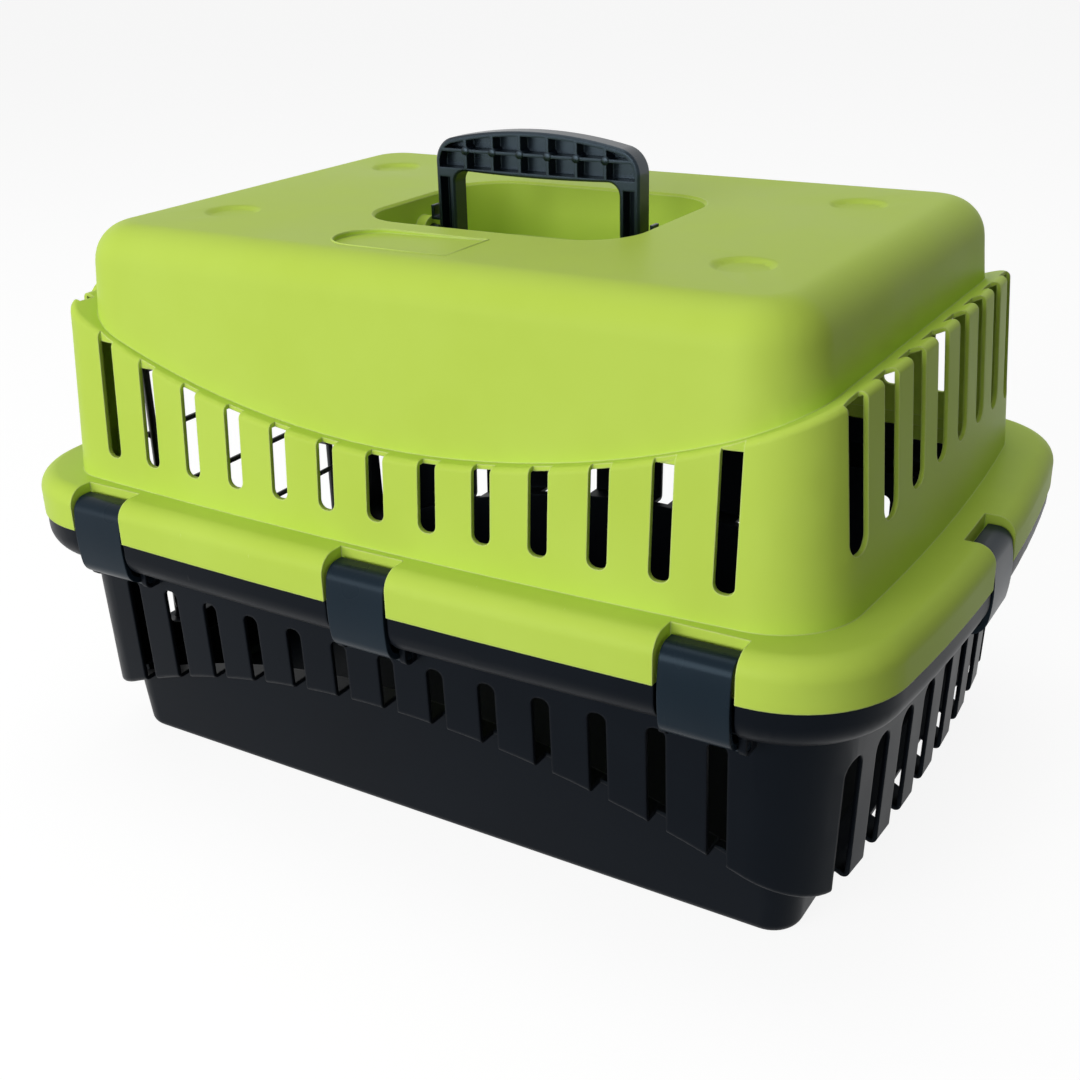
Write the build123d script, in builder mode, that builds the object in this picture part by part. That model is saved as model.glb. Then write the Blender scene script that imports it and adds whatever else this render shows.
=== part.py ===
from build123d import *
import math
import os

# A pet carrier: two moulded half shells clipped together round a rim, a wire door and a folding handle.
# Millimetres. Z is up, the feet stand on Z = 0, the door is the -X end and the long sides face -Y and +Y.

# Overall sizes
RIM_HALF_LENGTH = 230
RIM_HALF_WIDTH = 160
ROOF_Z = 271
PARTING_Z = 132
WALL = 2
INNER_BEVEL = 0.75
FOOT_HEIGHT = 1.5

# The rim flange round both shells: a green skirt over a black roll, keyed by a tongue
RIM_END_BOW = 12
RIM_SIDE_BOW = 6
RIM_CORNER = 50
FLANGE_TOP_Z = PARTING_Z + 19
SKIRT_Z = PARTING_Z - 1.5
RIM_BASE_Z = PARTING_Z - 21
FLANGE_EDGE = 9
ROLL_EDGE = 13
ROLL_INSET = 0.8
TONGUE_GAP = 0.3
TONGUE_WALL = 2
TONGUE_RISE = 5
TONGUE_ROOT = 4

# The slotted band above and below the rim, measured where it meets the parting plane
BAND_HALF_WIDTH = 143.5
BAND_FAR_END = 206.5
BAND_DOOR_END = 199
BAND_BOW = 7
BAND_CORNER = 38
BAND_DOOR_CORNER = 26
BAND_DRAFT = 4
LOWER_BAND_FAR_END = 209
LOWER_BAND_DRAFT = 2
BAND_HEIGHT = 122
LEDGE_RISE = 61.6
LEDGE_RADIUS = 446
LEDGE_EDGE = 3

# The roof above the ledge and the tub below it
ROOF_HALF_LENGTH = 180.5
ROOF_HALF_WIDTH = 124
ROOF_CORNER = 27
ROOF_EDGE = 19
TUB_HALF_LENGTH = 186
TUB_HALF_WIDTH = 121
TUB_CORNER = 14
TUB_EDGE = 5
DOME_DRAFT = 5.5
DOME_HEIGHT = 88

# Air slots
SLOT_PITCH = 26.4
SLOT_WIDTH = 8.8
SLOT_CORNER = 3.8
SIDE_SLOTS = 13
SLOT_START = 32
END_SLOTS = 8
END_SLOT_PITCH = 29.7
END_SLOT_WIDTH = 15
END_SLOT_CORNER = 6.5
END_SLOT_START = 44
END_SLOT_ARCH = 8
UPPER_END_SLOT_X = 191.5
LOWER_END_SLOT_X = 195.5
DOOR_SLOT_Y = 116
DOOR_SLOT_DEPTH = 16
SLOT_REACH = 90
LEDGE_STRIP = 3
LEDGE_GAP = 3

# Doorway and its raised surround, at the -X end
DOORWAY_HALF_WIDTH = 103
DOORWAY_TOP_HALF_WIDTH = 90
DOORWAY_TOP_Z = 228
DOORWAY_BASE_Z = 42
DOORWAY_CORNER = 16
SURROUND_WIDTH = 10
SURROUND_X = -204.8
SURROUND_INNER_X = -188
JAMB_INNER_X = -190

# Clips round the rim; each is a bowed strap that turns on two trunnions in ears under the black roll
CLIP_SPACING = 156
CLIP_WIDTH = 30
CLIP_THICKNESS = 2.8
CLIP_TOP_Z = PARTING_Z + 15
CLIP_REACH = 12.5
CLIP_LIP = 4.1
CLIP_TOP_BEND = 6
CLIP_FACE_RADIUS = 75
CLIP_LOW_BEND = 8
CLIP_TAIL = 4.3
NOTCH_WIDTH = 33
NOTCH_REACH = 14.5
SEAT_GAP = 0.5
SEAT_EDGE = 4.5
SEAT_Z = CLIP_TOP_Z - CLIP_THICKNESS - SEAT_GAP
SEAT_INSET = 5.6
NOTCH_BASE_Z = 113.5
PIVOT_Z = 107
PIVOT_INSET = 12.4
BARREL_RADIUS = 3
TRUNNION_RADIUS = 1.8
BEARING_GAP = 0.3
EAR_WIDTH = 3
EAR_RADIUS = 3.8

# Handle well, stacking dimples and label recess in the roof
WELL_HALF_LENGTH = 69
WELL_HALF_WIDTH = 55.5
WELL_CORNER = 27
WELL_DEPTH = 32
WELL_DRAFT = 6
WELL_FLOOR_EDGE = 5
WELL_LIP = 1.2
DIMPLE_X = 132
DIMPLE_Y = 66
DIMPLE_RADIUS = 14
DIMPLE_DEPTH = 1.8
FOOT_RADIUS = 12
LABEL_LEFT_X = -50
LABEL_RIGHT_X = 16
LABEL_Y = -87
LABEL_WIDTH = 32
LABEL_DEPTH = 2

# Handle: an arched grip on two legs, one moulding, ribbed on its -Y side
HANDLE_TOP_Z = 306
HANDLE_SHOULDER_Z = 299
HANDLE_HALF_LENGTH = 54.8
HANDLE_LEG = 10.2
HANDLE_DEPTH = 11
HANDLE_CORNER = 12
HANDLE_EDGE = 1
GRIP_BASE_Z = 285
GRIP_BASE_RISE = -1.2
GRIP_RIB_Z = 295.5
GRIP_COLUMNS = 7
HANDLE_WALL = 2.2
RIB = 1.5
POCKET_DEPTH = 6.5
HANDLE_AXIS_Z = 254
HANDLE_PIN_RADIUS = 4
HANDLE_PIN_END = 66.5
LUG_X = 62.3
LUG_END_X = 69.5
LUG_RADIUS = 8
HOOK_X = 60.6
HOOK_BASE_Z = 261
HOOK_TOP_Z = 268
HOOK_DEPTH = 3

# Wire door, in layers from the cabin outward: frame, cross wires, then upright, hinge rod and bolts
DOOR_HALF_WIDTH = 80
DOOR_BASE_Z = 49.6
DOOR_TOP_Z = 220
DOOR_GAPS = 5
DOOR_CORNER = 6
FRAME_WIRE = 4
CROSS_WIRE = 3
ROD = 4
FRAME_X = -191.5
CROSS_X = FRAME_X - (FRAME_WIRE + CROSS_WIRE) / 2
UPRIGHT_X = CROSS_X - CROSS_WIRE
ROD_X = CROSS_X - (CROSS_WIRE + ROD) / 2
HINGE_Y = -74
HOLE_DEPTH = 8.5
ROD_REACH = 7.5

# Barrel latch: two bolts in a moulded housing that grips two cross wires
LATCH_Y = 69
BOLT_X = -200
BOLT_TRAVEL = 14
RUNNING_GAP = 0.4
BOLT_BACK = 6
KEEPER = 6.4
HOUSING_WIDTH = 16
HOUSING_BASE_Z = 98
HOUSING_TOP_Z = 172
HOUSING_FACE_X = -205
HOUSING_BACK_X = -196.5
SADDLE_BACK_X = -193.2
SADDLE_HEIGHT = 8
HOUSING_MIDDLE = 6
THUMB_NECK = 4
THUMB_HEIGHT = 7
THUMB_WIDTH = 14
THUMB_X = -207
THUMB_FACE_X = -212
BOLT_TAIL = 3


def bowed_plan(far_end, door_end, half_width, far_bow, door_bow, side_bow, far_corner, door_corner, z):
    """A rounded rectangle at height z whose sides bow outward by the given amounts."""
    corner_y = half_width - side_bow
    far_x = far_end - far_bow
    door_x = door_end - door_bow
    with BuildSketch(Plane.XY.offset(z)) as outline:
        with BuildLine():
            ThreePointArc((-door_x, -corner_y), (0, -half_width), (far_x, -corner_y))
            ThreePointArc((far_x, -corner_y), (far_end, 0), (far_x, corner_y))
            ThreePointArc((far_x, corner_y), (0, half_width), (-door_x, corner_y))
            if door_bow:
                ThreePointArc((-door_x, corner_y), (-door_end, 0), (-door_x, -corner_y))
            else:
                Line((-door_x, corner_y), (-door_x, -corner_y))
        make_face()
        fillet(outline.vertices().filter_by(lambda corner: corner.X > 0), far_corner)
        fillet(outline.vertices().filter_by(lambda corner: corner.X < -door_x + 1), door_corner)
    return outline.sketch


def rim_plan(inset, z):
    """The outline of the rim flange, moved in by inset."""
    return bowed_plan(RIM_HALF_LENGTH - inset, RIM_HALF_LENGTH - inset, RIM_HALF_WIDTH - inset, RIM_END_BOW,
                      RIM_END_BOW, RIM_SIDE_BOW, RIM_CORNER - inset, RIM_CORNER - inset, z)


def band_plan(up, inset, z):
    """The outline of the slotted band where it leaves the rim, moved in by inset."""
    far_end = BAND_FAR_END if up > 0 else LOWER_BAND_FAR_END
    return bowed_plan(far_end - inset, BAND_DOOR_END - inset, BAND_HALF_WIDTH - inset, BAND_BOW,
                      0, BAND_BOW, BAND_CORNER - inset, BAND_DOOR_CORNER - inset, z)


def dome(up, inset):
    """The tapered block of the roof (up = 1) or of the tub (up = -1), its flat face rounded at the edge."""
    length, width, corner, edge, z = (ROOF_HALF_LENGTH, ROOF_HALF_WIDTH, ROOF_CORNER, ROOF_EDGE, ROOF_Z)
    if up < 0:
        length, width, corner, edge, z = (TUB_HALF_LENGTH, TUB_HALF_WIDTH, TUB_CORNER, TUB_EDGE, FOOT_HEIGHT)
    spread = DOME_HEIGHT * math.tan(math.radians(DOME_DRAFT)) - inset
    with BuildPart() as block:
        with BuildSketch(Plane.XY.offset(z - up * DOME_HEIGHT)):
            RectangleRounded(2 * (length + spread), 2 * (width + spread), corner + spread)
        extrude(amount=up * (DOME_HEIGHT - inset), taper=DOME_DRAFT)
        flat = block.faces().sort_by(Axis.Z)[-1 if up > 0 else 0]
        if inset > 0:
            chamfer(flat.edges(), INNER_BEVEL * (edge - inset))
        else:
            fillet(flat.edges(), edge - inset)
    return block.part


def shell_form(up, inset):
    """The solid form of one shell, every face moved in by inset; inside, plain bevels stand for the rounds."""
    open_end = SKIRT_Z - up * min(inset, 1)
    with BuildPart() as rim:
        extrude(rim_plan(inset if up > 0 else inset + ROLL_INSET, open_end),
                amount=(FLANGE_TOP_Z - inset if up > 0 else RIM_BASE_Z + inset) - open_end)
        flat = rim.faces().sort_by(Axis.Z)[-1 if up > 0 else 0]
        edge = (FLANGE_EDGE if up > 0 else ROLL_EDGE) - inset
        if inset > 0:
            chamfer(flat.edges(), INNER_BEVEL * edge)
        else:
            fillet(flat.edges(), edge)
    with BuildPart() as form:
        extrude(band_plan(up, inset, open_end), amount=up * BAND_HEIGHT,
                taper=BAND_DRAFT if up > 0 else LOWER_BAND_DRAFT)
        with BuildSketch(Plane.XZ):
            with Locations((0, PARTING_Z + up * (LEDGE_RISE + LEDGE_RADIUS))):
                Circle(LEDGE_RADIUS + inset)
        extrude(amount=RIM_HALF_WIDTH, both=True, mode=Mode.SUBTRACT)
        if inset == 0:
            ledge = form.faces().sort_by(Axis.Z)[-1 if up > 0 else 0]
            fillet(ledge.edges(), LEDGE_EDGE)
        add(dome(up, inset))
        add(rim.part)
    return form.part


def doorway(grow, outer_x, inner_x):
    """The six-sided block of the doorway, widest at the rim, grown all round, between two planes."""
    top_y = DOORWAY_TOP_HALF_WIDTH + grow
    rim_y = DOORWAY_HALF_WIDTH + grow
    low_z = DOORWAY_BASE_Z - grow
    high_z = DOORWAY_TOP_Z + grow
    with BuildPart() as block:
        with BuildSketch(Plane.YZ.offset(outer_x)) as shape:
            with BuildLine():
                Polyline((-top_y, low_z), (top_y, low_z), (rim_y, PARTING_Z), (top_y, high_z),
                         (-top_y, high_z), (-rim_y, PARTING_Z), close=True)
            make_face()
            fillet(shape.vertices().filter_by(lambda corner: abs(corner.Y - PARTING_Z) > 1),
                   DOORWAY_CORNER + grow)
        extrude(amount=inner_x - outer_x)
    return block.part


def slot_shape(up, start, height, width, corner):
    """The outline of a slot that rises from start, round at its start and square at its other end."""
    with BuildSketch() as shape:
        with Locations((0, start + up * height / 2)):
            Rectangle(width, height)
        ends = shape.vertices().sort_by(Axis.Y)
        fillet(ends[:2] if up > 0 else ends[2:], corner)
    return shape.sketch


def side_slots(up):
    """The air slots in the long sides of one shell, cut through the band and the outer part of its ledge."""
    start = PARTING_Z + up * SLOT_START
    with BuildPart() as cutters:
        with BuildSketch(Plane.XZ):
            with GridLocations(SLOT_PITCH, 1, SIDE_SLOTS, 1):
                add(slot_shape(up, start, SLOT_REACH, SLOT_WIDTH, SLOT_CORNER))
        extrude(amount=BAND_HALF_WIDTH + WALL, both=True)
        add(dome(up, -LEDGE_STRIP), mode=Mode.SUBTRACT)
        with BuildSketch(Plane.XZ):
            for index in range(SIDE_SLOTS):
                x = (index - (SIDE_SLOTS - 1) / 2) * SLOT_PITCH
                ledge = LEDGE_RISE + LEDGE_RADIUS - math.sqrt(LEDGE_RADIUS ** 2 - x ** 2)
                with Locations((x, 0)):
                    add(slot_shape(up, start, ledge - LEDGE_GAP - SLOT_START, SLOT_WIDTH, SLOT_CORNER))
        extrude(amount=BAND_HALF_WIDTH + WALL, both=True)
    return cutters.part


def end_slots(up):
    """The wide air slots in the end away from the door, their starts arched, and the two beside the door."""
    inner_x = UPPER_END_SLOT_X if up > 0 else LOWER_END_SLOT_X
    with BuildPart() as cutters:
        with BuildSketch(Plane.YZ.offset(inner_x)):
            for index in range(END_SLOTS):
                place = index - (END_SLOTS - 1) / 2
                arch = END_SLOT_ARCH * (1 - (2 * place / (END_SLOTS - 1)) ** 2)
                low = PARTING_Z + up * (END_SLOT_START + arch)
                with Locations((place * END_SLOT_PITCH, 0)):
                    add(slot_shape(up, low, SLOT_REACH, END_SLOT_WIDTH, END_SLOT_CORNER))
        extrude(amount=LOWER_BAND_FAR_END + WALL - inner_x)
        with BuildSketch(Plane.YZ.offset(-BAND_DOOR_END - WALL)):
            with Locations((-DOOR_SLOT_Y, 0), (DOOR_SLOT_Y, 0)):
                add(slot_shape(up, PARTING_Z + up * SLOT_START, SLOT_REACH, SLOT_WIDTH, SLOT_CORNER))
        extrude(amount=DOOR_SLOT_DEPTH)
    return cutters.part


def clip_planes():
    """For each clip, the plane of its profile: x points outward from the rim's outline and y points up."""
    drop = RIM_SIDE_BOW * (CLIP_SPACING / (RIM_HALF_LENGTH - RIM_END_BOW)) ** 2
    planes = {}
    for name, x in (("left", -CLIP_SPACING), ("middle", 0), ("right", CLIP_SPACING)):
        y = RIM_HALF_WIDTH - (drop if x else 0)
        planes["front_clip_" + name] = Plane(origin=(x, -y, 0), x_dir=(0, -1, 0), z_dir=(-1, 0, 0))
        planes["back_clip_" + name] = Plane(origin=(x, y, 0), x_dir=(0, 1, 0), z_dir=(1, 0, 0))
    planes["end_clip"] = Plane(origin=(RIM_HALF_LENGTH, 0, 0), x_dir=(1, 0, 0), z_dir=(0, -1, 0))
    return planes


def notches(up, grow, half_width):
    """The notch for each clip: a sunk seat in the green flange, or a gap in the black roll."""
    inner = -SEAT_INSET - grow
    deep = -NOTCH_REACH - grow
    outer = 2 * NOTCH_REACH
    step_z = SEAT_Z - grow if up > 0 else NOTCH_BASE_Z + grow
    far_z = FLANGE_TOP_Z + WALL if up > 0 else PIVOT_Z - 3 * BARREL_RADIUS
    open_z = SKIRT_Z - up * 2 * (TONGUE_RISE if up < 0 else 1)
    with BuildPart() as cutters:
        for plane in clip_planes().values():
            with BuildSketch(plane) as profile:
                with BuildLine():
                    Polyline((inner, open_z), (outer, open_z), (outer, far_z), (deep, far_z),
                             (deep, step_z), (inner, step_z), close=True)
                make_face()
                fillet(profile.vertices().sort_by_distance((inner, step_z, 0))[0], SEAT_EDGE)
            extrude(amount=half_width, both=True)
    return cutters.part


def ears():
    """Pairs of ears under the black roll that carry the clips' trunnions."""
    with BuildPart() as blocks:
        for plane in clip_planes().values():
            for side in (-1, 1):
                with BuildSketch(plane.offset(side * (CLIP_WIDTH / 2 + SEAT_GAP))):
                    with Locations((-PIVOT_INSET, PIVOT_Z)):
                        Circle(EAR_RADIUS)
                    with BuildLine():
                        Polyline((-PIVOT_INSET, PIVOT_Z - EAR_RADIUS), (-PIVOT_INSET, PIVOT_Z),
                                 (-PIVOT_INSET + EAR_RADIUS, PIVOT_Z),
                                 (-PIVOT_INSET + EAR_RADIUS, NOTCH_BASE_Z + WALL),
                                 (-2 * NOTCH_REACH, NOTCH_BASE_Z + WALL),
                                 (-2 * NOTCH_REACH, PIVOT_Z - EAR_RADIUS), close=True)
                    make_face()
                extrude(amount=side * EAR_WIDTH)
    return blocks.part


def pivot_holes():
    """The bearing holes through the ears."""
    with BuildPart() as holes:
        for plane in clip_planes().values():
            with BuildSketch(plane):
                with Locations((-PIVOT_INSET, PIVOT_Z)):
                    Circle(TRUNNION_RADIUS + BEARING_GAP)
            extrude(amount=CLIP_WIDTH / 2 + SEAT_GAP + EAR_WIDTH + 1, both=True)
    return holes.part


def rod_holes(grow):
    """The blind holes above and below the doorway: round for the hinge rod, square for the bolts."""
    with BuildPart() as holes:
        with BuildSketch(Plane.XY.offset(DOORWAY_BASE_Z - HOLE_DEPTH - grow)):
            with Locations((ROD_X, HINGE_Y)):
                Circle(ROD / 2 + BEARING_GAP + grow)
            with Locations((BOLT_X, LATCH_Y)):
                Rectangle(KEEPER + 2 * grow, KEEPER + 2 * grow)
        extrude(amount=DOORWAY_TOP_Z - DOORWAY_BASE_Z + 2 * (HOLE_DEPTH + grow))
    return holes.part


def well(grow):
    """The handle well in the roof, grown all round."""
    with BuildPart() as block:
        with BuildSketch(Plane.XY.offset(ROOF_Z)):
            RectangleRounded(2 * (WELL_HALF_LENGTH + grow), 2 * (WELL_HALF_WIDTH + grow), WELL_CORNER + grow)
        extrude(amount=-WELL_DEPTH - grow, taper=WELL_DRAFT)
        chamfer(block.faces().sort_by(Axis.Z)[0].edges(), WELL_FLOOR_EDGE)
    return block.part


def dimples(grow):
    """The four shallow round dimples that take the feet of another carrier stacked on top."""
    with BuildPart() as cones:
        with Locations(Plane.XY.offset(ROOF_Z - (DIMPLE_DEPTH + grow) / 2)):
            with GridLocations(2 * DIMPLE_X, 2 * DIMPLE_Y, 2, 2):
                Cone(DIMPLE_RADIUS - 2 * DIMPLE_DEPTH + grow, DIMPLE_RADIUS + grow, DIMPLE_DEPTH + grow)
    return cones.part


def label_recess(grow):
    """A flat recess in the roof, round and deepest at its left end and running out at its right end."""
    radius = LABEL_WIDTH / 2 + grow
    with BuildPart() as block:
        with BuildSketch(Plane.XY.offset(ROOF_Z)):
            with BuildLine():
                ThreePointArc((LABEL_LEFT_X + radius, LABEL_Y + radius), (LABEL_LEFT_X - grow, LABEL_Y),
                              (LABEL_LEFT_X + radius, LABEL_Y - radius))
                Polyline((LABEL_LEFT_X + radius, LABEL_Y - radius), (LABEL_RIGHT_X + grow, LABEL_Y - radius),
                         (LABEL_RIGHT_X + grow, LABEL_Y + radius), (LABEL_LEFT_X + radius, LABEL_Y + radius))
            make_face()
        extrude(amount=-LABEL_DEPTH - grow)
        with BuildSketch(Plane.XZ):
            with BuildLine():
                Polyline((LABEL_LEFT_X - grow, ROOF_Z + 1), (LABEL_RIGHT_X + grow, ROOF_Z + 1),
                         (LABEL_RIGHT_X + grow, ROOF_Z - 0.3 - grow),
                         (LABEL_LEFT_X - grow, ROOF_Z - LABEL_DEPTH - grow), close=True)
            make_face()
        extrude(amount=ROOF_HALF_WIDTH, both=True, mode=Mode.INTERSECT)
    return block.part


def clip(plane):
    """A strap clip on one plane: a bowed strap hooked over the seat, a barrel at its foot, two trunnions."""
    top_z = CLIP_TOP_Z - CLIP_THICKNESS / 2
    with BuildPart() as block:
        with BuildSketch(plane):
            with BuildLine() as spine:
                lip = Line((-CLIP_REACH, top_z), (-CLIP_REACH + CLIP_LIP, top_z))
                bend = JernArc(lip @ 1, lip % 1, CLIP_TOP_BEND, -80)
                face = JernArc(bend @ 1, bend % 1, CLIP_FACE_RADIUS, -20)
                heel = JernArc(face @ 1, face % 1, CLIP_LOW_BEND, -65)
                Line(heel @ 1, heel @ 1 + (heel % 1) * CLIP_TAIL)
            trace(spine.line, CLIP_THICKNESS)
            with Locations((-PIVOT_INSET, PIVOT_Z)):
                Circle(BARREL_RADIUS)
        extrude(amount=CLIP_WIDTH / 2, both=True)
        with BuildSketch(plane):
            with Locations((-PIVOT_INSET, PIVOT_Z)):
                Circle(TRUNNION_RADIUS)
        extrude(amount=CLIP_WIDTH / 2 + SEAT_GAP + EAR_WIDTH - BEARING_GAP, both=True)
    return block.part


def arch(inset, base_z):
    """The handle's outer outline down to base_z, moved in by inset, on the handle's -Y face."""
    half = HANDLE_HALF_LENGTH - inset
    shoulder_z = HANDLE_SHOULDER_Z - inset
    with BuildSketch(Plane.XZ.offset(HANDLE_DEPTH / 2)) as outline:
        with BuildLine():
            ThreePointArc((-half, shoulder_z), (0, HANDLE_TOP_Z - inset), (half, shoulder_z))
            Polyline((half, shoulder_z), (half, base_z), (-half, base_z), (-half, shoulder_z))
        make_face()
        fillet(outline.vertices().sort_by(Axis.Y)[2:], HANDLE_CORNER - inset)
    return outline.sketch


def wire(x, points, diameter, close):
    """A round wire bent in the plane across the door's thickness at x, through (y, z) points."""
    with BuildPart() as rod:
        with BuildLine(Plane.YZ.offset(x)) as spine:
            if close:
                FilletPolyline(*points, radius=DOOR_CORNER, close=True)
            else:
                Line(*points)
        with BuildSketch(Plane(origin=spine.line @ 0, z_dir=spine.line % 0)):
            Circle(diameter / 2)
        sweep(path=spine.line)
    return rod.part


def latch_bolt(up):
    """One round bolt, drawn back, with a thumb piece standing out of the housing."""
    middle = (HOUSING_BASE_Z + HOUSING_TOP_Z) / 2
    tail = middle + up * (HOUSING_MIDDLE / 2 + BOLT_TAIL)
    tip = DOORWAY_TOP_Z - BOLT_BACK if up > 0 else DOORWAY_BASE_Z + BOLT_BACK
    thumb = tail + up * (BOLT_TAIL + THUMB_HEIGHT / 2)
    with BuildPart() as bolt:
        with BuildSketch(Plane.XY.offset(tail)):
            with Locations((BOLT_X, LATCH_Y)):
                Circle(ROD / 2)
        extrude(amount=tip - tail)
        chamfer(bolt.faces().sort_by(Axis.Z)[-1 if up > 0 else 0].edges(), ROD / 5)
        with Locations(((BOLT_X + THUMB_X) / 2, LATCH_Y, thumb)):
            Box(BOLT_X - THUMB_X, THUMB_NECK, THUMB_HEIGHT)
        with Locations(((THUMB_FACE_X + THUMB_X) / 2, LATCH_Y, thumb)):
            pad = Box(THUMB_X - THUMB_FACE_X, THUMB_WIDTH, THUMB_HEIGHT)
        chamfer(bolt.faces().sort_by(Axis.X)[0].edges(), ROD / 4)
    return bolt.part


surround = doorway(SURROUND_WIDTH, SURROUND_X, SURROUND_INNER_X)
door_hole = doorway(0, -RIM_HALF_LENGTH - 1, -ROOF_HALF_LENGTH)
door_jamb = doorway(WALL, -RIM_HALF_LENGTH - 1, JAMB_INNER_X)

# Top shell: the space inside it first, then the moulding
with BuildPart() as top_space:
    add(shell_form(1, WALL))
    add(notches(1, WALL, NOTCH_WIDTH / 2 + WALL), mode=Mode.SUBTRACT)
    add(door_jamb, mode=Mode.SUBTRACT)
    add(rod_holes(WALL), mode=Mode.SUBTRACT)
    add(well(WALL), mode=Mode.SUBTRACT)
    add(dimples(WALL), mode=Mode.SUBTRACT)
    add(label_recess(WALL), mode=Mode.SUBTRACT)

with BuildPart() as top_shell:
    add(shell_form(1, 0))
    add(split(surround, bisect_by=Plane.XY.offset(SKIRT_Z), keep=Keep.TOP, mode=Mode.PRIVATE))
    add(notches(1, 0, NOTCH_WIDTH / 2), mode=Mode.SUBTRACT)
    add(well(0), mode=Mode.SUBTRACT)
    chamfer(top_shell.faces().sort_by(Axis.Z)[-1].inner_wires()[0].edges(), WELL_LIP)
    add(dimples(0), mode=Mode.SUBTRACT)
    add(label_recess(0), mode=Mode.SUBTRACT)
    for side in (-1, 1):
        with BuildSketch(Plane.YZ.offset(side * LUG_X)):
            with Locations((0, HANDLE_AXIS_Z)):
                Circle(LUG_RADIUS)
            with Locations((0, HANDLE_AXIS_Z - WELL_DEPTH / 4)):
                Rectangle(2 * LUG_RADIUS, WELL_DEPTH / 2)
            with Locations((0, HANDLE_AXIS_Z)):
                Circle(HANDLE_PIN_RADIUS + BEARING_GAP, mode=Mode.SUBTRACT)
        extrude(amount=side * (LUG_END_X - LUG_X))
    add(top_space.part, mode=Mode.SUBTRACT)
    add(door_hole, mode=Mode.SUBTRACT)
    add(side_slots(1), mode=Mode.SUBTRACT)
    add(end_slots(1), mode=Mode.SUBTRACT)
    add(rod_holes(0), mode=Mode.SUBTRACT)

# Bottom shell, with its tongue inside the green skirt, its ears and its feet
with BuildPart() as bottom_space:
    add(shell_form(-1, WALL))
    add(notches(-1, WALL, NOTCH_WIDTH / 2 + WALL), mode=Mode.SUBTRACT)
    add(door_jamb, mode=Mode.SUBTRACT)
    add(rod_holes(WALL), mode=Mode.SUBTRACT)

with BuildPart() as tongue:
    extrude(rim_plan(WALL + TONGUE_GAP, SKIRT_Z - TONGUE_ROOT), amount=TONGUE_ROOT + TONGUE_RISE)
    extrude(rim_plan(WALL + TONGUE_GAP + TONGUE_WALL, SKIRT_Z - TONGUE_ROOT),
            amount=TONGUE_ROOT + TONGUE_RISE, mode=Mode.SUBTRACT)
    add(notches(-1, WALL, NOTCH_WIDTH / 2 + WALL + TONGUE_GAP), mode=Mode.SUBTRACT)
    add(doorway(WALL + TONGUE_GAP, -RIM_HALF_LENGTH - 1, -ROOF_HALF_LENGTH), mode=Mode.SUBTRACT)

with BuildPart() as bottom_shell:
    add(shell_form(-1, 0))
    add(split(surround, bisect_by=Plane.XY.offset(SKIRT_Z), keep=Keep.BOTTOM, mode=Mode.PRIVATE))
    add(notches(-1, 0, NOTCH_WIDTH / 2), mode=Mode.SUBTRACT)
    add(ears())
    add(pivot_holes(), mode=Mode.SUBTRACT)
    add(bottom_space.part, mode=Mode.SUBTRACT)
    add(tongue.part)
    add(door_hole, mode=Mode.SUBTRACT)
    add(side_slots(-1), mode=Mode.SUBTRACT)
    add(end_slots(-1), mode=Mode.SUBTRACT)
    add(rod_holes(0), mode=Mode.SUBTRACT)
    with BuildSketch():
        with GridLocations(2 * DIMPLE_X, 2 * DIMPLE_Y, 2, 2):
            Circle(FOOT_RADIUS)
    extrude(amount=FOOT_HEIGHT + WALL / 2)

# Seven clips
clips = {}
for clip_name, clip_plane in clip_planes().items():
    with BuildPart() as strap:
        add(clip(clip_plane))
    clips[clip_name] = strap

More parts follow.
